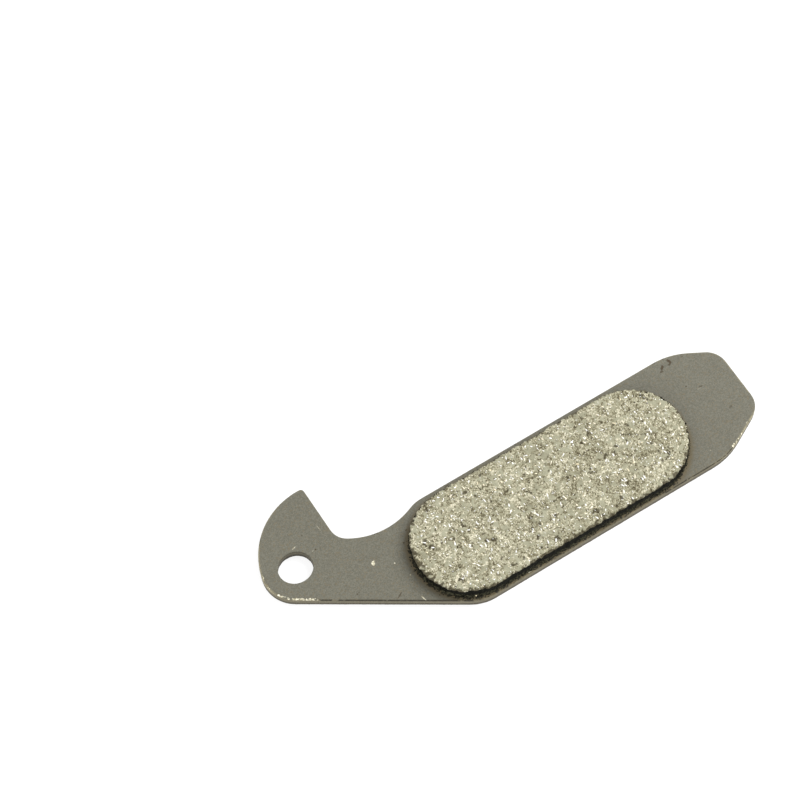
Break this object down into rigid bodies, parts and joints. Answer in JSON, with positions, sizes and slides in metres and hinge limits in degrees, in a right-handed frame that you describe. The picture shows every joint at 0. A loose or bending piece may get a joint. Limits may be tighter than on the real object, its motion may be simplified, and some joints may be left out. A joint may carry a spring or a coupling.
{
  "type": "bicycle brake pad",
  "caption": "Disc brake pad: hooked steel backing plate with a pin hole, a notch and a tapered nose, carrying a round-ended friction block keyed into the plate.",
  "frame": {"origin": "centre of the pin hole, on the plate's flat back", "axes": "+Z out of the friction face, +X along the body from the pin hole to the tapered nose, +Y towards the hook's side"},
  "size_m": [0.0831, 0.0316, 0.004],
  "materials": {
    "plate_paint": "thin matt grey-olive coat on stamped steel, bright chips along the edges",
    "friction_compound": "granular moulded compound with bright metal flecks and dark grains, near-black side wall"
  },
  "bodies": {
    "root": {"backing_plate": "plate_paint", "friction_block": "friction_compound"}
  },
  "joints": []
}
